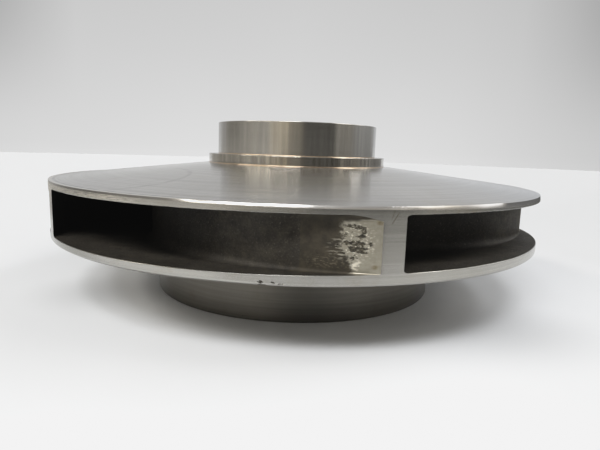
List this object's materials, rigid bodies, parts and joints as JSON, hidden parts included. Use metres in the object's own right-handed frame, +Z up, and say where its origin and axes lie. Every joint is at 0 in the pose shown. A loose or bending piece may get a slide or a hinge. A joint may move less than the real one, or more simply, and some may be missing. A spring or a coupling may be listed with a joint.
{
  "type": "closed centrifugal pump impeller",
  "caption": "Closed pump impeller: two round shrouds with backward-swept vanes between them, a suction eye ring below and a bored hub sleeve with a collar above.",
  "frame": {"origin": "on the shaft axis, in the plane of the eye ring's lower face, which the part stands on", "axes": "+Z up the shaft axis from the suction eye to the hub sleeve; -Y is the side the picture shows; +Y is the keyway"},
  "size_m": [0.33, 0.33, 0.1152],
  "materials": {
    "turned_steel": "turned on a lathe, satin, with fine rings round the shaft axis",
    "cast_steel": "as cast, matte, dark and slightly rough"
  },
  "bodies": {
    "root": {"back_shroud": "turned_steel", "front_shroud": "turned_steel", "hub": "turned_steel", "hub_sleeve": "turned_steel", "hub_collar": "turned_steel", "eye_ring": "turned_steel", "vane_1": "cast_steel", "vane_2": "cast_steel", "vane_3": "cast_steel", "vane_4": "cast_steel", "vane_5": "cast_steel"}
  },
  "joints": []
}
